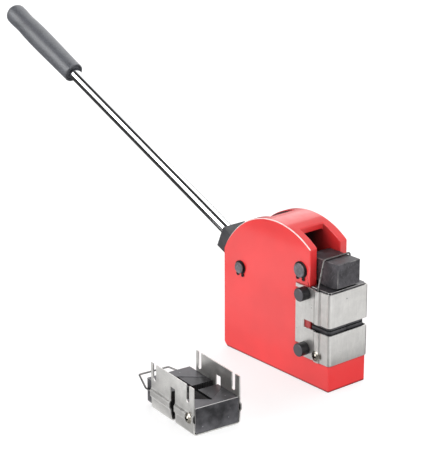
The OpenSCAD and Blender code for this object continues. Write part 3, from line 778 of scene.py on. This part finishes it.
def screw_tree():
    """Cross-recess screws on points, each facing away from the middle plane."""
    tree = Tree("Cover Screws", {
        "Flange Radius": FLOAT, "Flange Height": FLOAT, "Head Radius": FLOAT, "Head Height": FLOAT,
        "Shank Radius": FLOAT, "Shank Length": FLOAT,
        "Recess Length": FLOAT, "Recess Width": FLOAT, "Recess Depth": FLOAT, "Material": MATERIAL})
    head = tree.add(
        "GeometryNodeMeshUVSphere", Segments=48, Rings=24, Radius=tree.value("Head Radius"))
    dome = tree.moved(head.outputs[0], Scale=tree.vector(X=1.0, Y=1.0, Z=HEAD_SQUEEZE))
    # A wide block, as high as the head, keeps the dome's upper half and cuts it flat
    room = tree.vector(X=0.1, Y=0.1, Z=tree.value("Head Height"))
    block = tree.add("GeometryNodeMeshCube", Size=room)
    raised = tree.moved(block.outputs[0], Translation=tree.scaled(room, (0, 0, 0.5)))
    pan = tree.add("GeometryNodeMeshBoolean", {"operation": "INTERSECT", "solver": "EXACT"})
    tree.link(dome, pan.inputs["Mesh 2"])
    tree.link(raised, pan.inputs["Mesh 2"])
    depth = tree.scaled(tree.value("Recess Depth"), 2.0)
    top = tree.vector(Z=tree.value("Head Height"))
    cut = pan.outputs[0]
    for x, y in (("Recess Length", "Recess Width"), ("Recess Width", "Recess Length")):
        size = tree.vector(X=tree.value(x), Y=tree.value(y), Z=depth)
        bar = tree.add("GeometryNodeMeshCube", Size=size)
        slot = tree.add("GeometryNodeMeshBoolean", {"operation": "DIFFERENCE", "solver": "EXACT"})
        tree.link(cut, slot.inputs["Mesh 1"])
        tree.link(tree.moved(bar.outputs[0], Translation=top), slot.inputs["Mesh 2"])
        cut = slot.outputs[0]
    shank = tree.add(
        "GeometryNodeMeshCylinder", Vertices=32, Radius=tree.value("Shank Radius"),
        Depth=tree.value("Shank Length"))
    under = tree.vector(Z=tree.scaled(tree.value("Shank Length"), -0.5))
    flange = tree.add(
        "GeometryNodeMeshCone", Vertices=48, Radius_Top=tree.value("Head Radius"),
        Radius_Bottom=tree.value("Flange Radius"), Depth=tree.value("Flange Height"))
    screw = tree.add("GeometryNodeJoinGeometry")
    for part in (cut, flange.outputs[0], tree.moved(shank.outputs[0], Translation=under)):
        tree.link(part, screw.inputs[0])
    where = tree.add("GeometryNodeInputPosition")
    parts = tree.add("ShaderNodeSeparateXYZ", Vector=where.outputs[0])
    outward = tree.vector(Y=parts.outputs["Y"])
    facing = tree.add("FunctionNodeAlignRotationToVector", {"axis": "Z"}, Vector=outward)
    placed = tree.add(
        "GeometryNodeInstanceOnPoints", Points=tree.source.outputs["Geometry"],
        Instance=screw.outputs[0], Rotation=facing.outputs[0])
    tree.close(placed.outputs[0])
    return tree


# Operators


class STRETCHER_OT_frame(bpy.types.Operator):
    """Paint the frame casting and round its edges"""

    bl_idname = "stretcher.frame"
    bl_label = "Frame Casting"

    def execute(self, context):
        pin_x = middle("front_pivot_pin").x
        cover_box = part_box("jaw_cover")
        paint = gloss_paint(
            "Red Gloss Paint", colours().paint, colours().rub_and_glint, cover_box[1].z + GLINT_RISE,
            (pin_x + SHADE_AHEAD, pin_x - SHADE_BEHIND), cover_box)
        shape = round_edges(merged_copy("frame_casting"), sizes().casting_edge, steps=4)
        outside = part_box("frame_casting")[1].y - sizes().casting_edge
        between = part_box("rocker_arm")[1].y + SHADE_GAP

        # Only ridges on the outside that lean outwards and up keep the painted highlight
        def unglinted(vert):
            ridge = GLINT_LEAN[0] < abs(vert.normal.y) < GLINT_LEAN[1] and vert.normal.z > GLINT_UPWARD
            return not ridge or abs(vert.co.y) < outside

        # Walls and overhangs between the cheeks take painted shade
        def in_shade(face):
            wall = abs(face.normal.y) > SHADE_WALL or face.normal.z < SHADE_OVERHANG
            return wall and abs(face.calc_center_median().y) < between

        clear_crowns(shape, unglinted)
        mark_faces(shape, in_shade)
        add_piece("frame_casting_finish", shape, paint, ["frame_casting"])
        return {"FINISHED"}


class STRETCHER_OT_pivots(bpy.types.Operator):
    """Finish the pivot pins and their circlips"""

    bl_idname = "stretcher.pivots"
    bl_label = "Pivot Pins"

    def execute(self, context):
        oxide, bare = colours().oxide, colours().bare
        pin_steel = worn_black("Pin Steel", shade(oxide, 3.0), shade(bare, 0.5), dull=0.38)
        for node in ("rear_pivot_pin", "front_pivot_pin"):
            softened(node, pin_steel, sizes().tool_edge, steps=3)
        clip_steel = worn_black("Circlip Steel", shade(oxide, 0.3), shade(bare, 0.3), dull=0.35)
        softened("pivot_circlips", clip_steel, sizes().fine_edge)
        return {"FINISHED"}


def handle_line():
    """The rear pivot, and the direction of the handle from it."""
    pivot = Vector(JOINTS["handle_swing"]["pos_m"])
    return pivot, (middle("handle_rod") - pivot).normalized()


class STRETCHER_OT_lever(bpy.types.Operator):
    """Finish the lever's hub, its drive roller and the roller's pin"""

    bl_idname = "stretcher.lever"
    bl_label = "Lever Hub"

    def execute(self, context):
        pivot, axis = handle_line()
        shape = merged_copy("lever_hub")
        block_end = pivot + axis * EAR_REACH
        everything = shape.verts[:] + shape.edges[:] + shape.faces[:]
        bmesh.ops.bisect_plane(shape, geom=everything, plane_co=block_end, plane_no=axis, dist=JOIN)
        block = [e for e in shape.edges if all((v.co - block_end).dot(axis) > -JOIN for v in e.verts)]
        round_edges(shape, sizes().block_edge, steps=3, among=block)
        add_piece("lever_hub_finish", shape, satin_paint("Hub Paint", colours().hub), ["lever_hub"])
        ground = bright_metal("Ground Steel", colours().bare, 0.22)
        for node in ("drive_roller", "roller_pin"):
            softened(node, ground, sizes().tool_edge)
        return {"FINISHED"}


class STRETCHER_OT_rod(bpy.types.Operator):
    """Turn the chromed handle rod"""

    bl_idname = "stretcher.rod"
    bl_label = "Handle Rod"

    def execute(self, context):
        pivot, axis = handle_line()
        start, end, radius = lathe_span("handle_rod", pivot, axis)
        chamfer = sizes().rod_chamfer
        profile = [(start, 0), (start, radius - chamfer), (start + chamfer, radius)]
        profile += [(end - chamfer, radius), (end, radius - chamfer), (end, 0)]
        tilt = axis.to_track_quat("Z", "Y").to_euler()
        shape = turned(profile, along(pivot, axis), sides=96)
        add_piece("handle_rod_finish", shape, chrome_plate("Chrome Plate", tilt), ["handle_rod"])
        return {"FINISHED"}


class STRETCHER_OT_grip(bpy.types.Operator):
    """Mould the rubber grip with its open mouth, swell and domed end"""

    bl_idname = "stretcher.grip"
    bl_label = "Handle Grip"

    def execute(self, context):
        pivot, axis = handle_line()
        mouth, end, full = lathe_span("handle_grip", pivot, axis)
        rod_end, rod_r = lathe_span("handle_rod", pivot, axis)[1:]
        floor = mouth + sizes().grip_mouth
        wall = sizes().grip_wall
        seat = rod_r + GRIP_FIT
        mouth_r = full - GRIP_MOUTH_SLIM
        dome_centre = (end - GRIP_DOME, full - GRIP_END_SLIM - GRIP_DOME)
        bore_end = rod_end + GRIP_END_GAP
        body = [(mouth + share * (end - mouth), full - less * MM) for share, less in GRIP_SWELL]
        inner = [(floor, seat), (floor, mouth_r - wall - GRIP_STEP)]
        rim = arc((mouth + GRIP_LIP, mouth_r - wall / 2), wall / 2, 270, 90, 10)
        dome = arc(dome_centre, GRIP_DOME, 80, 0, 12)
        tail = [(end - GRIP_TIP[0], GRIP_TIP[1]), (end, 0)]
        blind = [(bore_end, 0), (bore_end, seat)]
        outside = smooth_curve(rim[-1:] + body + dome[:1], 8)
        profile = blind + inner + rim[:-1] + outside + dome[1:] + tail
        shape = turned(profile, along(pivot, axis), sides=112)
        rubber = moulded_rubber("Grip Rubber", colours().rubber)
        add_piece("handle_grip_finish", shape, rubber, ["handle_grip"])
        return {"FINISHED"}


class STRETCHER_OT_rocker(bpy.types.Operator):
    """Blacken the rocker and wear its edges"""

    bl_idname = "stretcher.rocker"
    bl_label = "Rocker Arm"

    def execute(self, context):
        black = worn_black("Rocker Black", shade(colours().oxide, 1.35), shade(colours().bare, 0.6))
        softened("rocker_arm", black, sizes().block_edge, steps=4)
        return {"FINISHED"}


class STRETCHER_OT_knobs(bpy.types.Operator):
    """Turn the four black thumb screws"""

    bl_idname = "stretcher.knobs"
    bl_label = "Thumb Screws"

    def execute(self, context):
        oxide = colours().oxide
        black = worn_black(
            "Knob Black", shade(oxide, 0.5), shade(oxide, 2.2), dull=0.36, patches=(0.0, 0.3))
        crown = sizes().knob_crown
        for side in SIDES:
            for level in LEVELS:
                node = f"{level}_{side}_thumb_screw"
                low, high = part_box(node)
                radius = (high.x - low.x) / 2
                outward = 1 if side == "left" else -1
                reach = high.y - low.y
                inner_end = low.y if side == "left" else high.y
                seat = reach - KNOB_LENGTH
                dish = reach - KNOB_DISH
                start = Vector((middle(node).x, inner_end, middle(node).z))
                profile = [(0, 0), (0, KNOB_SHANK - KNOB_EDGE), (KNOB_EDGE, KNOB_SHANK), (seat, KNOB_SHANK)]
                profile += arc((seat + KNOB_EDGE, radius - KNOB_EDGE), KNOB_EDGE, 180, 90, 4)
                profile += arc((reach - crown, radius - crown), crown, 90, 0, 8)
                profile += [(reach - KNOB_DISH / 3, radius * 0.6), (dish, radius * 0.25), (dish, 0)]
                shape = turned(profile, along(start, (0, outward, 0)), sides=80)
                # The knob's outer face and rim are painted pale: partly wear, partly a painted reflection
                mark_points(shape, lambda point: abs(point.y - inner_end) > reach - KNOB_WEAR_AND_SHEEN)
                add_piece(f"{node}_finish", shape, black, [node])
        return {"FINISHED"}


class STRETCHER_OT_covers(bpy.types.Operator):
    """Finish the folded jaw covers, with rounded bends and brushed faces"""

    bl_idname = "stretcher.covers"
    bl_label = "Jaw Covers"

    def execute(self, context):
        grains = {"": (1, 1, 40), SPARE: (40, 1, 1)}
        front_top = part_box("jaw_cover")[1]
        punches = {"": (front_top.x, PUNCH_PLACE[0], front_top.z + PUNCH_PLACE[1]), SPARE: None}
        for prefix, label in zip(SETS, ("Cover Sheet", "Spare Cover Sheet")):
            node = prefix + "jaw_cover"
            shape = merged_copy(node)
            round_edges(shape, sizes().sheet_bend, steps=4, most=CUT)
            clear_crowns(shape, lambda vert: True)
            round_edges(shape, sizes().fine_edge, least=CUT)
            sheet = brushed_sheet(label, colours().sheet, grains[prefix], punches[prefix])
            add_piece(f"{node}_finish", shape, sheet, [node])
        return {"FINISHED"}


class STRETCHER_OT_cover_screws(bpy.types.Operator):
    """Set the cross-recess screws that hold each cover to its lower holder"""

    bl_idname = "stretcher.cover_screws"
    bl_label = "Cover Screws"

    def execute(self, context):
        zinc = bright_metal("Zinc Plate", colours().zinc, 0.30)
        tree = screw_tree()
        low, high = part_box("cover_screws")
        axis = middle("cover_screws")
        seat_y = high.y - SCREW_HEAD_HEIGHT
        seats = [(axis.x, y, axis.z) for y in (low.y + SCREW_HEAD_HEIGHT, seat_y)]
        values = {
            "Flange Radius": (high.x - low.x) / 2, "Flange Height": SCREW_FLANGE,
            "Head Radius": SCREW_HEAD_RADIUS, "Head Height": SCREW_HEAD_HEIGHT,
            "Shank Radius": SCREW_SHANK[0], "Shank Length": SCREW_SHANK[1],
            "Recess Length": SCREW_RECESS[0], "Recess Width": SCREW_RECESS[1],
            "Recess Depth": SCREW_RECESS[2], "Material": zinc}

        # Faces inside the cross recess are painted dark, as shade
        def in_recess(face):
            centre = face.calc_center_median()
            off_axis = math.hypot(centre.x - axis.x, centre.z - axis.z)
            height = abs(centre.y) - seat_y
            dome = HEAD_SQUEEZE * math.sqrt(max(0, SCREW_HEAD_RADIUS ** 2 - off_axis ** 2))
            top = min(SCREW_HEAD_HEIGHT, dome)
            return off_axis < SCREW_RECESS[0] / 2 and 0 < height < top - SCREW_SKIN

        for prefix in SETS:
            shape = tree.run(prefix + "cover_screw_seats", seats, [], values)
            bmesh.ops.remove_doubles(shape, verts=shape.verts, dist=JOIN)
            mark_faces(shape, in_recess)
            shape.transform(bench_place(prefix))
            add_piece(f"{prefix}cover_screws_finish", shape, zinc, [prefix + "cover_screws"])
        return {"FINISHED"}


class STRETCHER_OT_holders(bpy.types.Operator):
    """Finish the jaw holders"""

    bl_idname = "stretcher.holders"
    bl_label = "Jaw Holders"

    def execute(self, context):
        steel = oiled_steel("Holder Steel", colours().tool_steel, shade(colours().bare, 1.5))
        for prefix in SETS:
            for level in LEVELS:
                node = f"{prefix}{level}_jaw_holder"
                shape = round_edges(merged_copy(node), sizes().tool_edge)
                biting = biting_way(prefix, level)
                clear_crowns(shape, lambda vert: vert.normal.dot(biting) > HOLDER_BITE)
                add_piece(f"{node}_finish", shape, steel, [node])
        return {"FINISHED"}


class STRETCHER_OT_bails(bpy.types.Operator):
    """Bend the wire bails that lift the upper holders"""

    bl_idname = "stretcher.bails"
    bl_label = "Lifting Bails"

    def execute(self, context):
        steel = bright_metal("Bail Wire", shade(colours().bare, 0.38), 0.3)
        tree = wire_tree()
        radius = sizes().bail_wire / 2
        low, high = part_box("lifting_bail")
        back, front = low.x + radius, high.x - radius
        side_y = high.y - radius
        top_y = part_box("rocker_arm")[1].y + BAIL_CLEARANCE + radius
        hook_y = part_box("upper_jaw_holder")[1].y - BAIL_HOOK
        knee_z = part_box("jaw_cover")[1].z + BAIL_KNEE
        hook_z = low.z + radius
        half = [(front, hook_y, hook_z), (front, side_y, hook_z), (front, side_y, knee_z)]
        half += [(back, top_y, high.z - radius)]
        path = half + [(x, -y, z) for x, y, z in reversed(half)]
        links = [(i, i + 1) for i in range(len(path) - 1)]
        values = {"Wire Radius": radius, "Bend Radius": BAIL_BEND, "Material": steel}
        for prefix in SETS:
            shape = tree.run(prefix + "bail_path", path, links, values)
            shape.transform(bench_place(prefix, SPARE_LIFT))
            add_piece(f"{prefix}lifting_bail_finish", shape, steel, [prefix + "lifting_bail"])
        return {"FINISHED"}


class STRETCHER_OT_jaws(bpy.types.Operator):
    """Finish the toothed jaws"""

    bl_idname = "stretcher.jaws"
    bl_label = "Jaws"

    def execute(self, context):
        # The jaws' edges are painted near black, as shade in the gaps between jaws
        steel = oiled_steel("Jaw Steel", shade(colours().tool_steel, 0.7), shade(colours().bare, 0.03))
        for prefix in SETS:
            for level in LEVELS:
                biting = biting_way(prefix, level)
                for side in SIDES:
                    node = f"{prefix}{level}_{side}_jaw"
                    shape = round_edges(merged_copy(node), sizes().fine_edge)
                    shape.normal_update()

                    # Biting faces, and the shaded jaw's back, are painted dark, as shade
                    def painted_dark(face):
                        back = node == SHADED_JAW and face.normal.z > JAW_BACK
                        return back or face.normal.dot(biting) > JAW_BITE

                    mark_faces(shape, painted_dark)
                    add_piece(f"{node}_finish", shape, steel, [node])
        return {"FINISHED"}


class STRETCHER_OT_springs(bpy.types.Operator):
    """Wind the springs between the jaws"""

    bl_idname = "stretcher.springs"
    bl_label = "Jaw Springs"

    def execute(self, context):
        steel = bright_metal("Spring Wire", colours().bare, 0.22)
        tree = coil_tree()
        wire_r = sizes().spring_wire / 2
        for level in reversed(LEVELS):
            node = f"{level}_jaw_spring"
            low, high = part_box(node)
            values = {
                "Turns": SPRING_TURNS, "Coil Radius": SPRING_RADIUS - wire_r,
                "Length": high.y - low.y - 2 * wire_r, "Wire Radius": wire_r, "Material": steel}
            start = Vector((middle(node).x, low.y + wire_r, middle(node).z))
            for prefix in SETS:
                shape = tree.run(prefix + level + "_coil", [(0, 0, 0)], [], values)
                lift = SPARE_LIFT if level == "upper" else 0.0
                shape.transform(bench_place(prefix, lift) @ along(start, (0, 1, 0)))
                add_piece(f"{prefix}{node}_finish", shape, steel, [prefix + node])
        return {"FINISHED"}


# The camera's azimuth, elevation and roll in degrees, its point in metres and its lens in millimetres
VIEW_AZIMUTH = 50.44
VIEW_ELEVATION = 19.02
VIEW_ROLL = -0.21
VIEW_POINT = (1.2903, -1.1759, 0.7641)
VIEW_LENS = 135.1


def view_matrix():
    """The camera's place and turn."""
    turn, rise, roll = (math.radians(a) for a in (VIEW_AZIMUTH, VIEW_ELEVATION, VIEW_ROLL))
    back = Vector((math.sin(turn) * math.cos(rise), -math.cos(turn) * math.cos(rise), math.sin(rise)))
    level = Vector((math.cos(turn), math.sin(turn), 0))
    right = Matrix.Rotation(roll, 3, back) @ level
    upward = back.cross(right)
    return Matrix.Translation(VIEW_POINT) @ Matrix((right, upward, back)).transposed().to_4x4()


def add_softbox(name, point, aim, size, power):
    """A square light at a point, facing another."""
    light = bpy.data.lights.new(name, "AREA")
    light.shape = "SQUARE"
    light.size = size
    light.energy = power
    lamp = bpy.data.objects.new(name, light)
    lamp.matrix_world = along(point, Vector(point) - Vector(aim))
    bpy.context.scene.collection.objects.link(lamp)


# Studio panels far around the tool: direction, cosines where each begins and is full, and brightness
PANELS = (
    ((-0.29, -0.88, 0.40), 0.900, 0.918, 4.2),
    ((-0.25, 0.70, 0.67), 0.74, 0.78, 1.1),
    ((-0.72, 0.60, 0.32), 0.93, 0.98, 0.7),
    ((0.85, 0.10, 0.50), 0.55, 0.85, 1.35),
)
STUDIO_DIM = 0.05
# Cards under the floor, which stand for it in reflections alone: low and high corners, and brightness
CARDS = (
    ((-0.28, -1.00), (0.10, -0.32), 1.2),
    ((-0.18, -0.32), (0.10, -0.245), 1.2),
    ((-0.18, -0.245), (0.10, -0.205), 0.4),
    ((-0.42, -0.32), (-0.18, -0.205), 1.35),
    ((-0.28, -0.205), (0.10, -0.115), 0.95),
    ((-0.28, -0.115), (0.10, -0.075), 0.72),
    ((-0.28, -0.075), (0.10, -0.03), 0.45),
    ((0.15, -0.30), (0.80, 0.33), 0.95),
    ((0.15, 0.33), (0.80, 0.90), 0.25),
)
CARD_DROP = 2 * MM
# Dark flag above the arch that only reflections see, so the panels don't wash out its front slope
FLAG = ((-0.11, 0.05), (0.20, 0.20), 0.12)
FLAG_HEIGHT = 300 * MM
# The floor reaches this far each way; its two shades, the size of their drift, and its own glow
FLOOR_REACH = 6.0
FLOOR_SHADES = ((0.31, 0.31, 0.32, 1), (0.33, 0.33, 0.33, 1))
FLOOR_DRIFT = 400 * MM
FLOOR_GLOW = 0.72
# Softbox behind the tool: its point, what it faces, its size in metres and its power in watts
SOFTBOX = ((-0.3, 1.1, 2.0), (0, 0, 0.1), 1.2, 8)
WHITE = (1, 1, 1, 1)
BLACK = (0, 0, 0, 1)


def studio_world():
    """A dim room with soft bright panels, and plain white beyond the floor's edge."""
    world = bpy.data.worlds.new("studio")
    world.use_nodes = True
    tree = world.node_tree
    direction = tree.nodes.new("ShaderNodeTexCoord").outputs["Generated"]
    glow = None
    for panel, begin, full, brightness in PANELS:
        facing = tree.nodes.new("ShaderNodeVectorMath")
        facing.operation = "DOT_PRODUCT"
        facing.inputs[1].default_value = Vector(panel).normalized()
        tree.links.new(direction, facing.inputs[0])
        fade = tree.nodes.new("ShaderNodeMapRange")
        fade.interpolation_type = "SMOOTHSTEP"
        for name, value in zip(("From Min", "From Max", "To Min", "To Max"), (begin, full, 0, brightness)):
            fade.inputs[name].default_value = value
        tree.links.new(facing.outputs["Value"], fade.inputs["Value"])
        sum_up = tree.nodes.new("ShaderNodeMath")
        sum_up.inputs[1].default_value = STUDIO_DIM
        tree.links.new(fade.outputs["Result"], sum_up.inputs[0])
        if glow:
            tree.links.new(glow, sum_up.inputs[1])
        glow = sum_up.outputs["Value"]
    beyond_floor = tree.nodes.new("ShaderNodeMix")
    seen = tree.nodes.new("ShaderNodeLightPath").outputs["Is Camera Ray"]
    tree.links.new(seen, beyond_floor.inputs["Factor"])
    tree.links.new(glow, beyond_floor.inputs["A"])
    beyond_floor.inputs["B"].default_value = 1.0
    background = tree.nodes["Background"]
    background.inputs["Color"].default_value = WHITE
    tree.links.new(beyond_floor.outputs["Result"], background.inputs["Strength"])
    return world


def stage_plane(name, low, high, height, material):
    """A flat stage piece between two corners."""
    shape = bmesh.new()
    corners = ((low[0], low[1]), (high[0], low[1]), (high[0], high[1]), (low[0], high[1]))
    shape.faces.new([shape.verts.new((x, y, height)) for x, y in corners])
    mesh = bpy.data.meshes.new(name)
    shape.to_mesh(mesh)
    shape.free()
    mesh.materials.append(material)
    plane = bpy.data.objects.new(name, mesh)
    bpy.context.scene.collection.objects.link(plane)
    return plane


def add_card(name, low, high, brightness, height):
    """A glowing card that shows only in reflections."""
    glow = Finish(name)
    glow.set(Base_Color=BLACK, Emission_Color=WHITE, Emission_Strength=brightness)
    card = stage_plane(name, low, high, height, glow.material)
    card.visible_camera = False
    card.visible_diffuse = False
    card.visible_transmission = False
    card.visible_shadow = False


class STRETCHER_OT_stage(bpy.types.Operator):
    """Set the pale floor, the soft studio light and the camera"""

    bl_idname = "stretcher.stage"
    bl_label = "Stage"

    def execute(self, context):
        scene = context.scene
        pale = Finish("Pale Floor")
        drift = pale.span(pale.noise(FLOOR_DRIFT), 0.3, 0.7)
        pale.feed("Base Color", pale.mixed(drift, *FLOOR_SHADES))
        pale.set(Roughness=0.6, Emission_Color=WHITE, Emission_Strength=FLOOR_GLOW)
        floor = stage_plane("floor", (-FLOOR_REACH,) * 2, (FLOOR_REACH,) * 2, 0, pale.material)
        floor.visible_glossy = False
        for number, (low, high, brightness) in enumerate(CARDS, 1):
            add_card(f"reflection_card_{number}", low, high, brightness, -CARD_DROP)
        add_card("reflection_flag", *FLAG, FLAG_HEIGHT)
        add_softbox("top_softbox", *SOFTBOX)
        scene.world = studio_world()
        scene.view_settings.view_transform = "Standard"
        camera = bpy.data.cameras.new("camera")
        camera.lens = VIEW_LENS
        viewer = bpy.data.objects.new("camera", camera)
        viewer.matrix_world = view_matrix()
        scene.collection.objects.link(viewer)
        scene.camera = viewer
        return {"FINISHED"}


OPERATORS = (
    STRETCHER_OT_frame, STRETCHER_OT_pivots, STRETCHER_OT_lever, STRETCHER_OT_rod, STRETCHER_OT_grip,
    STRETCHER_OT_rocker, STRETCHER_OT_knobs, STRETCHER_OT_covers, STRETCHER_OT_cover_screws,
    STRETCHER_OT_holders, STRETCHER_OT_bails, STRETCHER_OT_jaws, STRETCHER_OT_springs, STRETCHER_OT_stage)


class STRETCHER_PT_looks(bpy.types.Panel):
    """Sizes, colours and pieces of the shrinker stretcher"""

    bl_idname = "STRETCHER_PT_looks"
    bl_label = "Shrinker Stretcher"
    bl_space_type = "VIEW_3D"
    bl_region_type = "UI"
    bl_category = "Stretcher"

    def draw(self, context):
        for group in (context.scene.stretcher_sizes, context.scene.stretcher_colours):
            box = self.layout.box()
            for name in group.__annotations__:
                box.prop(group, name)
        for operator in OPERATORS:
            self.layout.operator(operator.bl_idname)


CLASSES = (StretcherSizes, StretcherColours) + OPERATORS + (STRETCHER_PT_looks,)


def register():
    for cls in CLASSES:
        bpy.utils.register_class(cls)
    bpy.types.Scene.stretcher_sizes = PointerProperty(type=StretcherSizes)
    bpy.types.Scene.stretcher_colours = PointerProperty(type=StretcherColours)


def unregister():
    del bpy.types.Scene.stretcher_colours
    del bpy.types.Scene.stretcher_sizes
    for cls in reversed(CLASSES):
        bpy.utils.unregister_class(cls)


def main():
    register()
    for operator in OPERATORS:
        group, name = operator.bl_idname.split(".")
        getattr(getattr(bpy.ops, group), name)()


if __name__ == "__main__":
    main()
